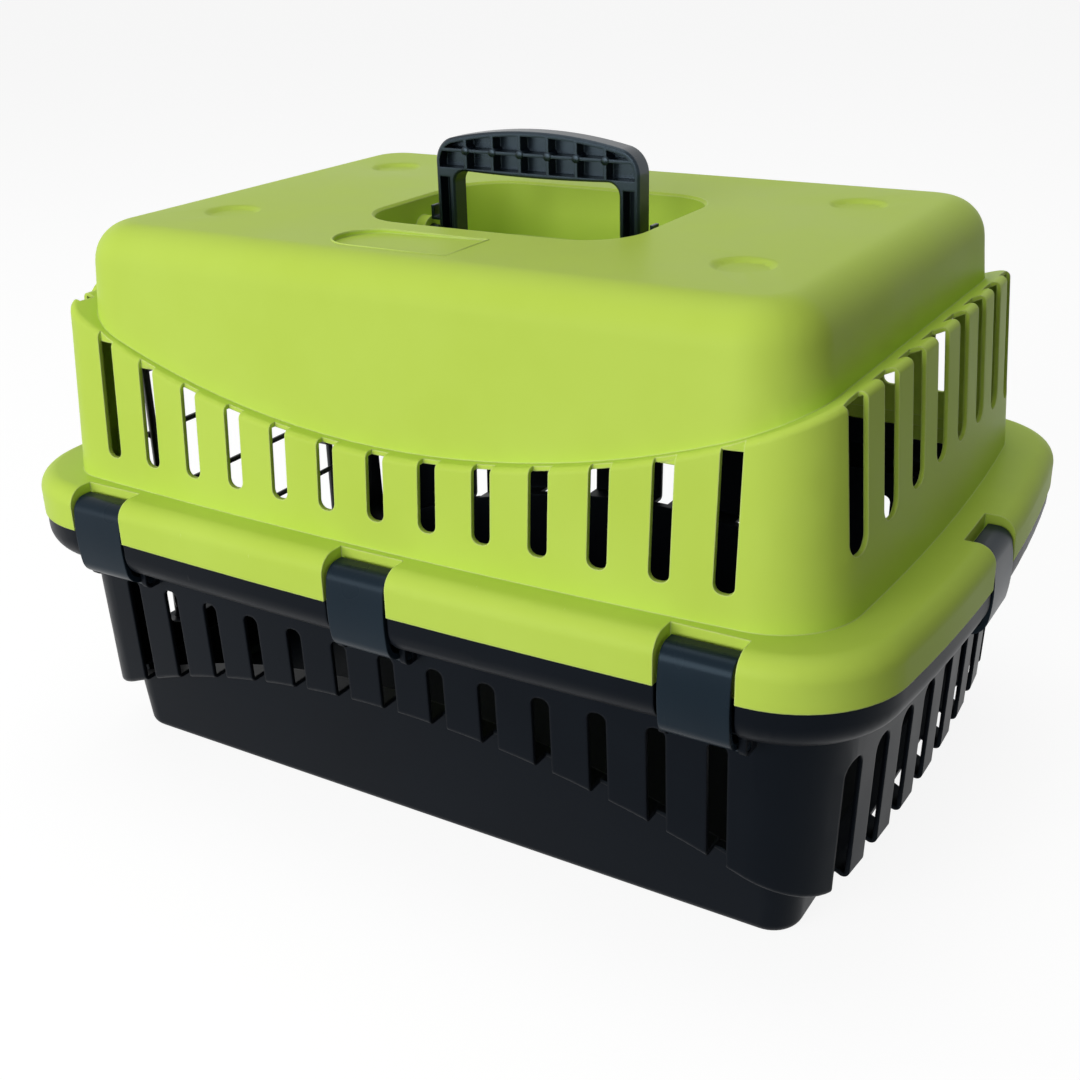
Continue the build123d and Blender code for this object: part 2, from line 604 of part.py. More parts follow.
# Handle: grip and legs, the ribbed pockets in the -Y face, the pins and a hook outside each leg
with BuildPart() as handle:
    extrude(arch(0, HANDLE_AXIS_Z - HANDLE_DEPTH / 2), amount=-HANDLE_DEPTH)
    with BuildSketch(Plane.XZ) as gap:
        inner = HANDLE_HALF_LENGTH - HANDLE_LEG
        with BuildLine():
            ThreePointArc((-inner, GRIP_BASE_Z - GRIP_BASE_RISE), (0, GRIP_BASE_Z),
                          (inner, GRIP_BASE_Z - GRIP_BASE_RISE))
            Polyline((inner, GRIP_BASE_Z - GRIP_BASE_RISE), (inner, 0), (-inner, 0),
                     (-inner, GRIP_BASE_Z - GRIP_BASE_RISE))
        make_face()
        fillet(gap.vertices(), HANDLE_CORNER / 2)
    extrude(amount=HANDLE_DEPTH, both=True, mode=Mode.SUBTRACT)
    chamfer(handle.faces().filter_by(Axis.Y).edges(), HANDLE_EDGE)
    with BuildSketch(Plane.YZ):
        with Locations((0, HANDLE_AXIS_Z)):
            Circle(HANDLE_DEPTH / 2)
        with Locations((0, (HANDLE_AXIS_Z + HANDLE_TOP_Z) / 2)):
            Rectangle(HANDLE_DEPTH, HANDLE_TOP_Z - HANDLE_AXIS_Z)
    extrude(amount=HANDLE_HALF_LENGTH, both=True, mode=Mode.INTERSECT)
    with BuildSketch(Plane.XZ.offset(HANDLE_DEPTH / 2)):
        add(arch(HANDLE_WALL, GRIP_BASE_Z + HANDLE_WALL))
        column = 2 * (HANDLE_HALF_LENGTH - HANDLE_WALL) / GRIP_COLUMNS
        with Locations((0, GRIP_RIB_Z)):
            with GridLocations(column, 1, GRIP_COLUMNS - 1, 1):
                Rectangle(RIB, HANDLE_TOP_Z - GRIP_BASE_Z + HANDLE_WALL, mode=Mode.SUBTRACT)
            Rectangle(2 * HANDLE_HALF_LENGTH, RIB, mode=Mode.SUBTRACT)
        with Locations((0, (HANDLE_AXIS_Z + GRIP_BASE_Z) / 2)):
            with GridLocations(2 * HANDLE_HALF_LENGTH - HANDLE_LEG, 1, 2, 1):
                Rectangle(HANDLE_LEG - 2 * HANDLE_WALL, GRIP_BASE_Z - HANDLE_AXIS_Z - 2 * HANDLE_WALL)
    extrude(amount=-POCKET_DEPTH, mode=Mode.SUBTRACT)
    for side in (-1, 1):
        with BuildSketch(Plane.YZ.offset(side * (HANDLE_HALF_LENGTH - HANDLE_WALL))):
            with Locations((0, HANDLE_AXIS_Z)):
                Circle(HANDLE_PIN_RADIUS)
        extrude(amount=side * (HANDLE_PIN_END - HANDLE_HALF_LENGTH + HANDLE_WALL))
        with BuildSketch(Plane.XZ):
            with BuildLine():
                Polyline((side * (HANDLE_HALF_LENGTH - RIB), HOOK_BASE_Z), (side * HOOK_X, HOOK_BASE_Z),
                         (side * HOOK_X, HOOK_TOP_Z), (side * (HOOK_X - RIB), HOOK_TOP_Z),
                         (side * (HOOK_X - RIB), HOOK_BASE_Z + RIB),
                         (side * (HANDLE_HALF_LENGTH - RIB), HOOK_BASE_Z + RIB), close=True)
            make_face()
        extrude(amount=HOOK_DEPTH, both=True)

# Door frame: one wire bent into a rounded loop
with BuildPart() as door_frame:
    add(wire(FRAME_X, [(-DOOR_HALF_WIDTH, DOOR_BASE_Z), (DOOR_HALF_WIDTH, DOOR_BASE_Z),
                       (DOOR_HALF_WIDTH, DOOR_TOP_Z), (-DOOR_HALF_WIDTH, DOOR_TOP_Z)], FRAME_WIRE, True))

# Cross wires welded to the outside of the frame
cross_zs = [DOOR_BASE_Z + (DOOR_TOP_Z - DOOR_BASE_Z) * step / DOOR_GAPS for step in range(1, DOOR_GAPS)]
cross_end = DOOR_HALF_WIDTH + FRAME_WIRE / 2
cross_wires = {}
for number, z in enumerate(cross_zs, 1):
    with BuildPart() as cross_wire:
        add(wire(CROSS_X, [(-cross_end, z), (cross_end, z)], CROSS_WIRE, False))
    cross_wires["door_cross_wire_" + str(number)] = cross_wire

# Upright wire in the middle and the rod that the door turns on
with BuildPart() as door_upright_wire:
    add(wire(UPRIGHT_X, [(0, DOOR_BASE_Z - FRAME_WIRE / 2), (0, DOOR_TOP_Z + FRAME_WIRE / 2)],
             CROSS_WIRE, False))

with BuildPart() as hinge_rod:
    add(wire(ROD_X, [(HINGE_Y, DOORWAY_BASE_Z - ROD_REACH), (HINGE_Y, DOORWAY_TOP_Z + ROD_REACH)],
             ROD, False))

# Latch housing: a block on two saddles round the middle cross wires, bored from each end for a bolt
housing_middle = (HOUSING_BASE_Z + HOUSING_TOP_Z) / 2
with BuildPart() as latch_housing:
    with BuildSketch(Plane.YZ.offset(HOUSING_FACE_X)):
        with Locations((LATCH_Y, housing_middle)):
            RectangleRounded(HOUSING_WIDTH, HOUSING_TOP_Z - HOUSING_BASE_Z, HOUSING_WIDTH / 4)
    extrude(amount=HOUSING_BACK_X - HOUSING_FACE_X)
    chamfer(latch_housing.faces().sort_by(Axis.X)[0].edges(), ROD / 4)
    for z in cross_zs[1:3]:
        with Locations(((HOUSING_BACK_X - WALL + SADDLE_BACK_X) / 2, LATCH_Y, z)):
            Box(SADDLE_BACK_X - HOUSING_BACK_X + WALL, HOUSING_WIDTH, SADDLE_HEIGHT)
        add(wire(CROSS_X, [(-cross_end, z), (cross_end, z)], CROSS_WIRE, False), mode=Mode.SUBTRACT)
    for up in (-1, 1):
        end_z = housing_middle + up * HOUSING_MIDDLE / 2
        slot_z = end_z + up * (2 * BOLT_TAIL - RUNNING_GAP)
        slot_length = THUMB_HEIGHT + BOLT_TRAVEL + 2 * RUNNING_GAP
        with BuildSketch(Plane.XY.offset(end_z)):
            with Locations((BOLT_X, LATCH_Y)):
                Circle(ROD / 2 + RUNNING_GAP)
        extrude(amount=up * HOUSING_TOP_Z, mode=Mode.SUBTRACT)
        with Locations(((HOUSING_FACE_X + BOLT_X) / 2 - 1, LATCH_Y, slot_z + up * slot_length / 2)):
            Box(BOLT_X - HOUSING_FACE_X + 2, THUMB_NECK + 2 * RUNNING_GAP, slot_length, mode=Mode.SUBTRACT)

# Latch bolts, both drawn back
with BuildPart() as latch_bolt_upper:
    add(latch_bolt(1))

with BuildPart() as latch_bolt_lower:
    add(latch_bolt(-1))

pieces = {
    "top_shell": top_shell,
    "bottom_shell": bottom_shell,
    "handle": handle,
    "door_frame": door_frame,
    "door_upright_wire": door_upright_wire,
    "hinge_rod": hinge_rod,
    "latch_housing": latch_housing,
    "latch_bolt_upper": latch_bolt_upper,
    "latch_bolt_lower": latch_bolt_lower,
    **clips,
    **cross_wires,
}

os.makedirs("parts", exist_ok=True)
for name, piece in pieces.items():
    piece.part.label = name
    export_step(piece.part, "parts/" + name + ".step")
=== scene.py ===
"""Pet carrier: the looks of a two-shell moulded carrier with a folding handle and a wire door.

Places and sizes of the carrier's own pieces are in millimetres, as in its CAD. Settings and the studio are in
metres.
"""

import math

import bmesh
import bpy
import numpy as np
from mathutils import Matrix, Vector


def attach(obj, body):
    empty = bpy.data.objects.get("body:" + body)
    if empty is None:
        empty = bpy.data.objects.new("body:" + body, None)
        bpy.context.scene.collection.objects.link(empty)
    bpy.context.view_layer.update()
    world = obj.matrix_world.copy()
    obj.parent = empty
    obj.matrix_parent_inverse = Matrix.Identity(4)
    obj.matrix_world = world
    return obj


bl_info = {
    "name": "Pet Carrier",
    "version": (1, 0, 0),
    "blender": (4, 5, 0),
    "location": "View3D > Sidebar > Carrier",
    "description": "Dresses a moulded pet carrier with its plastics, wire door and studio",
    "category": "Object",
}

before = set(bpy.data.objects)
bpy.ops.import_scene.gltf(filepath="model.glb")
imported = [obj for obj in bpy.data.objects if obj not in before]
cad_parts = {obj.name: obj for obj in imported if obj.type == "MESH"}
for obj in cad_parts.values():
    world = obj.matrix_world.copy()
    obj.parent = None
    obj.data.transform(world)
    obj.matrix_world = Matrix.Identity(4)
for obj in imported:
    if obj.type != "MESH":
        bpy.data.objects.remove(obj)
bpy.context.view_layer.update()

MM = 0.001

# CAD nodes that share a finish
CLIPS = ["front_clip_left", "front_clip_middle", "front_clip_right",
         "back_clip_left", "back_clip_middle", "back_clip_right", "end_clip"]
WIRES = ["door_frame", "door_cross_wire_1", "door_cross_wire_2", "door_cross_wire_3", "door_cross_wire_4",
         "door_upright_wire", "hinge_rod"]
LATCH = ["latch_housing", "latch_bolt_upper", "latch_bolt_lower"]

# The line round the label recess: the middle and radius of its round end, and where its square end lies
ROOF_Z = 271
LABEL_Y = -87
OUTLINE_ROUND_X = -34
OUTLINE_RADIUS = 16.6
OUTLINE_END_X = 16.4

# The grip's upright ribs, its one long rib, the floor of its pockets and how deep they are
RIB_COUNT = 6
RIB_PITCH = 15.03
LONG_RIB_Z = 295.5
POCKET_FLOOR_Y = 1
POCKET_DEPTH = 6.5
# A boss narrows by its draft to its top. The top is eased and the foot flared, each so much across and along
BOSS_DRAFT = 0.2
BOSS_EASE = (0.5, 0.35)
BOSS_FLARE = (0.5, 0.4)

# The door's wires: where cross wires touch the frame, and where they touch the hinge rod and the upright
FRAME_TOUCH_X = -193.5
OUTER_TOUCH_X = -196.5
FRAME_SIDE_Y = 80
HINGE_Y = -74
CROSS_WIRE_Z = (83.68, 117.76, 151.84, 185.92)
# How full a weld bead is: 1 would be an ellipse, and less is fuller
BEAD_POWER = 0.8

# Points nearer than this are made one in a CAD mesh and in a new piece, and edges that turn more stay sharp
MERGE_GAP = 0.01
POLE_GAP = 0.0001
SHARP_EDGE = math.radians(34)

# Plastics: refractive index of polypropylene, and the cloudy patches that the melt's flow leaves, 71 mm across,
# with how gently their two shades meet and how far roughness goes down and up with them
POLYPROPYLENE_IOR = 1.49
FLOW_CLOUD = 500 / 7
FLOW_BLEND = 0.25
SMOOTHEST, ROUGHEST = -0.05, 0.06
GRAIN_STRENGTH = 0.35
# Painted highlight along edges, by the cosine of the lean of the softened normal: where it starts, where it is
# full and its share there
EDGE_HIGHLIGHT_START, EDGE_HIGHLIGHT_FULL = 0.998, 0.9
EDGE_HIGHLIGHT_SHARE = 0.8
# The colour of the gloss: white, or a cool blue that paints the reflection of a blue sky into what the black
# plastics reflect
WHITE_GLOSS = (1, 1, 1)
SKY_BLUE_GLOSS = (0.6, 0.82, 1)

# Studio: a floor far larger than the view, a hair under the feet, and how bright it and the world are. The tooth
# of its paper is drawn 1.1 mm across, which is coarser than real
FLOOR_HALF = 20
FLOOR_DROP = 0.0001
PAPER_TOOTH = 10 / 9
FLOOR_GLOW = 1.12
GLOW_SHARE = 0.8
FLOOR_BOUNCE = 0.3
WORLD_LIGHT = 0.15
LOW_AIM = (0, 0, 0.12)
TOP_AIM = (0, 0, 0.1)


def linear(hex_colour):
    """An sRGB hex colour as linear red, green, blue and alpha. A channel up to 0.04045 is divided by 12.92. A
    higher one has 0.055 added, is divided by 1.055 and raised to the power 2.4."""
    channels = np.array([int(hex_colour[i:i + 2], 16) for i in (1, 3, 5)]) / 255
    low, high = channels / 12.92, ((channels + 0.055) / 1.055) ** 2.4
    return (*np.where(channels <= 0.04045, low, high).tolist(), 1.0)


def node(tree, kind, inputs=(), links=(), **settings):
    """Adds a node of a kind, sets its properties and input values, and links (input, source node, output)."""
    made = tree.nodes.new(kind)
    for key, value in settings.items():
        setattr(made, key, value)
    for key, value in dict(inputs).items():
        made.inputs[key].default_value = value
    for key, source, output in links:
        tree.links.new(source.outputs[output], made.inputs[key])
    return made


def empty_material(name):
    """A new material and its node tree, with nothing in it."""
    material = bpy.data.materials.new(name)
    material.use_nodes = True
    material.node_tree.nodes.clear()
    return material, material.node_tree


def plastic(name, colour, pale, edge_highlight=None, *, roughness, grain, relief, edge=0.9, gloss=0.5, tint=WHITE_GLOSS):
    """A plastic skin, moulded or sprayed as powder.

    Its colour clouds from one shade to a paler one, as the melt's flow leaves it, and its roughness with it. Low
    bumps make the grain, whose width and relief are in millimetres, and edges are softened over the radius edge.
    The real grain is 0.1 mm or less, so it is drawn several times as coarse, to show at all. Where a highlight
    colour is given, that colour grows as the softened normal leans away from the face's own: a painted highlight
    along the edges, where they would catch the light.
    """
    material, tree = empty_material(name)
    place = node(tree, "ShaderNodeTexCoord")
    clouds = node(tree, "ShaderNodeTexNoise", {"Scale": 1 / (FLOW_CLOUD * MM), "Detail": 3, "Roughness": 0.55},
                  [("Vector", place, "Object")])
    specks = node(tree, "ShaderNodeTexNoise", {"Scale": 1 / (grain * MM), "Detail": 2},
                  [("Vector", place, "Object")])
    shades = node(tree, "ShaderNodeValToRGB", links=[("Fac", clouds, "Fac")])
    dark, light = shades.color_ramp.elements
    dark.position, dark.color = 0.5 - FLOW_BLEND, linear(colour)
    light.position, light.color = 0.5 + FLOW_BLEND, linear(pale)
    matt = node(tree, "ShaderNodeMapRange", {"From Min": 0.3, "From Max": 0.7, "To Min": roughness + SMOOTHEST,
                                             "To Max": roughness + ROUGHEST}, [("Value", clouds, "Fac")])
    soft_edge = node(tree, "ShaderNodeBevel", {"Radius": edge * MM}, samples=4)
    bumps = node(tree, "ShaderNodeBump", {"Strength": GRAIN_STRENGTH, "Distance": relief * MM},
                 [("Height", specks, "Fac"), ("Normal", soft_edge, "Normal")])
    base = shades, "Color"
    # Painted highlight: the given colour is mixed in along edges, where the softened normal leans
    if edge_highlight:
        face = node(tree, "ShaderNodeNewGeometry")
        lean = node(tree, "ShaderNodeVectorMath", links=[(0, soft_edge, "Normal"), (1, face, "Normal")],
                    operation="DOT_PRODUCT")
        highlight_mask = node(tree, "ShaderNodeMapRange", {"From Min": EDGE_HIGHLIGHT_START, "From Max": EDGE_HIGHLIGHT_FULL, "To Min": 0,
                                                 "To Max": EDGE_HIGHLIGHT_SHARE}, [("Value", lean, "Value")])
        edge_lit = node(tree, "ShaderNodeMix", {"B": linear(edge_highlight)},
                    [("Factor", highlight_mask, "Result"), ("A", shades, "Color")], data_type="RGBA")
        base = edge_lit, "Result"
    shader = node(tree, "ShaderNodeBsdfPrincipled",
                  {"IOR": POLYPROPYLENE_IOR, "Specular IOR Level": gloss, "Specular Tint": (*tint, 1)},
                  [("Base Color", *base), ("Roughness", matt, "Result"), ("Normal", bumps, "Normal")])
    node(tree, "ShaderNodeOutputMaterial", links=[("Surface", shader, "BSDF")])
    return material


def dress(names, material):
    """Gives CAD nodes one material and even shading. Their loose triangles are joined, and split again at sharp
    edges, so that only the faces between such edges share their shading."""
    for name in names:
        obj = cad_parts[name]
        obj.data.materials.clear()
        obj.data.materials.append(material)
        obj.data.polygons.foreach_set("use_smooth", np.ones(len(obj.data.polygons), dtype=bool))
        merge = obj.modifiers.new("merge", "WELD")
        merge.merge_threshold = MERGE_GAP * MM
        split = obj.modifiers.new("sharp edges", "EDGE_SPLIT")
        split.split_angle = SHARP_EDGE
        even = obj.modifiers.new("even shading", "WEIGHTED_NORMAL")
        even.weight = 100
        even.keep_sharp = True


def surface(name, shape, material, body):
    """A smooth-shaded closed mesh of a shape, which is points in millimetres and faces. It rides on a body and
    takes the material it is given. Points that lie on each other, as at the poles of a turned shape, are made
    one."""
    points, faces = shape
    mesh = bpy.data.meshes.new(name)
    mesh.from_pydata((points * MM).tolist(), [], faces.tolist())
    form = bmesh.new()
    form.from_mesh(mesh)
    bmesh.ops.remove_doubles(form, verts=form.verts, dist=POLE_GAP * MM)
    form.to_mesh(mesh)
    form.free()
    mesh.polygons.foreach_set("use_smooth", np.ones(len(mesh.polygons), dtype=bool))
    mesh.materials.append(material)
    obj = bpy.data.objects.new(name, mesh)
    bpy.context.scene.collection.objects.link(obj)
    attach(obj, body)
    return obj


def grid_faces(rows, columns, first=0, ring=False):
    """The quads between neighbouring points of a grid of rows by columns, whose numbers start at first. The
    columns join round, and the rows do too where ring is true."""
    row, column = np.meshgrid(np.arange(rows if ring else rows - 1), np.arange(columns), indexing="ij")
    after, beside = (row + 1) % rows * columns, (column + 1) % columns
    corners = [row * columns + column, row * columns + beside, after + beside, after + column]
    return first + np.stack(corners, axis=-1).reshape(-1, 4)


def turned(profile, centres, axis, around):
    """A profile of (radius, height) turned about an axis, x, y or z, through each centre. Every height lies
    along the axis and every radius across it, at equal angles all the way round."""
    radius, height = np.asarray(profile, float).T
    angle = np.arange(around) * 2 * np.pi / around
    across = np.roll(axis, 1), np.roll(axis, 2)
    out = np.cos(angle)[:, None] * across[0] + np.sin(angle)[:, None] * across[1]
    ring = (height[:, None, None] * np.asarray(axis) + radius[:, None, None] * out).reshape(-1, 3)
    points = np.concatenate([ring + centre for centre in centres])
    faces = np.concatenate([grid_faces(len(radius), around, i * len(ring)) for i in range(len(centres))])
    return points, faces


def raised_line(path, level, width, height, around=12):
    """A round line along a closed path on a level face. Each section is an ellipse of that width and twice that
    height, square to the line between the neighbouring points, with its lower half in the face."""
    ahead = np.roll(path, -1, 0) - np.roll(path, 1, 0)
    ahead /= np.linalg.norm(ahead, axis=1, keepdims=True)
    side = np.stack([-ahead[:, 1], ahead[:, 0]], axis=1)
    turn = np.arange(around) * 2 * np.pi / around
    flat = path[:, None] + side[:, None] * (width / 2 * np.cos(turn))[None, :, None]
    rise = np.broadcast_to(level + height * np.sin(turn), flat.shape[:2])
    points = np.concatenate([flat, rise[..., None]], axis=2).reshape(-1, 3)
    return points, grid_faces(len(path), around, ring=True)


class CarrierColours(bpy.types.PropertyGroup):
    """The colours of the carrier's plastics and wire, of the painted highlights along their edges, and of the
    floor, as sRGB hex values.
    """

    lime: bpy.props.StringProperty(name="Lime", description="Top shell", default="#C0DB54")
    lime_pale: bpy.props.StringProperty(name="Pale lime", description="Paler flow in the top shell",
                                        default="#C6E15E")
    # Painted highlight along the edges of the top shell
    lime_edge_highlight: bpy.props.StringProperty(name="Highlit lime", description="Highlighted edges of the top shell",
                                          default="#E4F3A4")
    black: bpy.props.StringProperty(name="Black", description="Bottom shell and latch", default="#090B11")
    black_pale: bpy.props.StringProperty(name="Pale black", description="Paler flow in the bottom shell",
                                         default="#0D1016")
    # Painted highlight along the edges of the bottom shell
    black_edge_highlight: bpy.props.StringProperty(name="Highlit black", description="Highlighted edges of the bottom shell",
                                           default="#14171C")
    clip: bpy.props.StringProperty(name="Clip", description="Rim clips", default="#141E27")
    clip_pale: bpy.props.StringProperty(name="Pale clip", description="Paler flow in the rim clips",
                                        default="#18242E")
    handle: bpy.props.StringProperty(name="Handle", description="Folding handle", default="#060A10")
    handle_pale: bpy.props.StringProperty(name="Pale handle", description="Paler flow in the handle",
                                          default="#0A1119")
    # Painted highlight along the edges of the handle's ribs
    handle_edge_highlight: bpy.props.StringProperty(name="Highlit handle", description="Highlighted edges of the handle",
                                            default="#26303A")
    wire: bpy.props.StringProperty(name="Wire", description="Powder coat of the wire door", default="#15161A")
    wire_pale: bpy.props.StringProperty(name="Pale wire", description="Thinner powder coat", default="#1A1B1F")
    latch_pale: bpy.props.StringProperty(name="Pale latch", description="Paler flow in the latch",
                                         default="#22262C")
    floor: bpy.props.StringProperty(name="Floor", description="Studio floor", default="#F4F4F4")


class CarrierTrim(bpy.types.PropertyGroup):
    """The sizes of the small pieces that are added to the CAD."""

    outline_width: bpy.props.FloatProperty(name="Outline width", description="Line round the label recess",
                                           default=1.0 * MM, min=0, precision=5, unit="LENGTH")
    outline_height: bpy.props.FloatProperty(name="Outline height", description="How far that line stands up",
                                            default=0.4 * MM, min=0, precision=5, unit="LENGTH")
    boss_radius: bpy.props.FloatProperty(name="Boss radius", description="Bosses at the crossings of the ribs",
                                         default=2.3 * MM, min=1 * MM, precision=5, unit="LENGTH")
    boss_rise: bpy.props.FloatProperty(name="Boss rise", description="How far a boss stands off the ribs",
                                       default=0.45 * MM, min=0, precision=5, unit="LENGTH")
    bead_radius: bpy.props.FloatProperty(name="Bead radius", description="Weld beads where the wires cross",
                                         default=2.3 * MM, min=0, precision=5, unit="LENGTH")
    bead_depth: bpy.props.FloatProperty(name="Bead depth", description="A weld bead, from wire to wire",
                                        default=2.2 * MM, min=0, precision=5, unit="LENGTH")


class CarrierStudio(bpy.types.PropertyGroup):
    """The camera and the lamps."""

    lens: bpy.props.FloatProperty(name="Lens", description="Focal length on a 36 mm sensor", default=47.774,
                                  min=10, max=200, unit="CAMERA")
    azimuth: bpy.props.FloatProperty(name="Azimuth", description="Camera's turn round the carrier",
                                     default=math.radians(31.561), subtype="ANGLE")
    elevation: bpy.props.FloatProperty(name="Elevation", description="Camera's height above the horizon",
                                       default=math.radians(23.990), subtype="ANGLE")
    roll: bpy.props.FloatProperty(name="Roll", description="Camera's tilt to the side",
                                  default=math.radians(-1.558), subtype="ANGLE")
    distance: bpy.props.FloatProperty(name="Distance", description="Camera to the carrier's middle",
                                      default=0.71705, unit="LENGTH")
    slide: bpy.props.FloatVectorProperty(name="Slide", description="Camera's shift right and up", size=2,
                                         default=(-0.002811, -0.058860), unit="LENGTH")
    aim_height: bpy.props.FloatProperty(name="Aim height", description="Height the camera turns about",
                                        default=0.1642, unit="LENGTH")
    key_power: bpy.props.FloatProperty(name="Key lamp", description="Large lamp in front", default=30, min=0,
                                       unit="POWER")
    side_power: bpy.props.FloatProperty(name="Side lamp", description="Lamp at the door's side", default=11,
                                        min=0, unit="POWER")
    top_power: bpy.props.FloatProperty(name="Top lamp", description="Lamp over the roof", default=15, min=0,
                                       unit="POWER")


class CARRIER_OT_shells(bpy.types.Operator):
    """Dress the top and bottom shells"""

    bl_idname = "carrier.shells"
    bl_label = "Shells"

    def execute(self, context):
        colours, trim = context.scene.carrier_colours, context.scene.carrier_trim
        # Polypropylene moulded in a spark-eroded tool: a milky satin that spreads the light, with a paler
        # painted highlight along its edges
        lime = plastic("moulded lime polypropylene", colours.lime, colours.lime_pale, colours.lime_edge_highlight,
                       roughness=0.42, grain=0.5, relief=0.03, gloss=0.06)
        dress(["top_shell"], lime)
        # The label recess is a half circle at the left and square at the right, and so is the line round it
        turn = np.linspace(np.pi / 2, 3 * np.pi / 2, 25)
        bend = np.stack([np.cos(turn), np.sin(turn)], axis=1) * OUTLINE_RADIUS + (OUTLINE_ROUND_X, LABEL_Y)
        ends = [(OUTLINE_END_X, LABEL_Y - OUTLINE_RADIUS), (OUTLINE_END_X, LABEL_Y + OUTLINE_RADIUS)]
        line = raised_line(np.concatenate([bend, ends]), ROOF_Z, trim.outline_width / MM,
                           trim.outline_height / MM)
        surface("label_recess_outline", line, lime, "shells")

        # The same moulding in black: nearly black on the flat, with a grey sheen on the roll of the rim that a
        # painted blue sky reflection cools, and a painted highlight along its edges
        black = plastic("moulded black polypropylene", colours.black, colours.black_pale, colours.black_edge_highlight,
                        roughness=0.38, grain=0.6, relief=0.03, edge=1.5, gloss=0.08, tint=SKY_BLUE_GLOSS)
        dress(["bottom_shell"], black)
        return {"FINISHED"}


class CARRIER_OT_clips(bpy.types.Operator):
    """Dress the seven rim clips"""

    bl_idname = "carrier.clips"
    bl_label = "Clips"

    def execute(self, context):
        colours = context.scene.carrier_colours
        # Polypropylene moulded in a smoother tool: blue-black, with a tighter highlight along the straps, cooled
        # by a painted blue sky reflection
        dress(CLIPS, plastic("moulded gloss black polypropylene", colours.clip, colours.clip_pale,
                             roughness=0.28, grain=0.5, relief=0.015, gloss=0.14, tint=SKY_BLUE_GLOSS))
        return {"FINISHED"}


class CARRIER_OT_handle(bpy.types.Operator):
    """Dress the folding handle"""

    bl_idname = "carrier.handle"
    bl_label = "Handle"

    def execute(self, context):
        colours, trim = context.scene.carrier_colours, context.scene.carrier_trim
        # Polypropylene that hands have polished: the glossiest plastic here, cooled by a painted blue sky
        # reflection, with a slate grey painted highlight along the edges of its ribs
        black = plastic("moulded handle polypropylene", colours.handle, colours.handle_pale,
                        colours.handle_edge_highlight, roughness=0.3, grain=0.4, relief=0.02, gloss=0.45,
                        tint=SKY_BLUE_GLOSS)
        dress(["handle"], black)
        # A boss stands on the pockets' floor at each crossing of ribs, and a little off the ribs
        foot, top = trim.boss_radius / MM, -POCKET_DEPTH - trim.boss_rise / MM
        rim = foot - BOSS_DRAFT
        profile = [(0, top), (rim - BOSS_EASE[0], top), (rim, top + BOSS_EASE[1]), (foot, 0),
                   (foot + BOSS_FLARE[0], BOSS_FLARE[1]), (0, BOSS_FLARE[1])]
        columns = (np.arange(RIB_COUNT) - (RIB_COUNT - 1) / 2) * RIB_PITCH
        bosses = turned(profile, [(x, POCKET_FLOOR_Y, LONG_RIB_Z) for x in columns], (0, 1, 0), 20)
        surface("handle_rib_bosses", bosses, black, "handle")
        return {"FINISHED"}


class CARRIER_OT_door(bpy.types.Operator):
    """Dress the wire door and its latch"""

    bl_idname = "carrier.door"
    bl_label = "Wire door"

    def execute(self, context):
        colours, trim = context.scene.carrier_colours, context.scene.carrier_trim
        # Steel wire with a baked powder coat: an even dark skin with a slight orange peel
        coat = plastic("powder coated steel wire", colours.wire, colours.wire_pale,
                       roughness=0.36, grain=0.8, relief=0.04)
        dress(WIRES, coat)
        # Polypropylene moulded in a fine tool: a plain dark satin, neutral beside the bluish clips
        dress(LATCH, plastic("moulded latch polypropylene", colours.black, colours.latch_pale,
                             roughness=0.4, grain=0.5, relief=0.03))
        # A bead is a flattened ball: its radius is the sine of the angle from its pole, to a power, times its
        # largest radius, and its height is the cosine times half its depth
        turn = np.linspace(0, np.pi, 9)
        profile = np.stack([trim.bead_radius / MM * np.abs(np.sin(turn)) ** BEAD_POWER,
                            -trim.bead_depth / MM / 2 * np.cos(turn)], axis=1)
        centres = [(FRAME_TOUCH_X, y, z) for z in CROSS_WIRE_Z for y in (-FRAME_SIDE_Y, FRAME_SIDE_Y)]
        centres += [(OUTER_TOUCH_X, y, z) for z in CROSS_WIRE_Z for y in (HINGE_Y, 0)]
        beads = turned(profile, centres, (1, 0, 0), 16)
        surface("door_weld_beads", beads, coat, "door")
        return {"FINISHED"}


def background_rays(tree):
    """A value of 1 for the rays that should see the plain white background: camera, glossy and transmission."""
    ray = node(tree, "ShaderNodeLightPath")
    shiny = node(tree, "ShaderNodeMath", links=[(0, ray, "Is Glossy Ray"), (1, ray, "Is Transmission Ray")],
                 operation="MAXIMUM")
    seen = node(tree, "ShaderNodeMath", links=[(0, ray, "Is Camera Ray"), (1, shiny, 0)], operation="MAXIMUM")
    return seen, 0


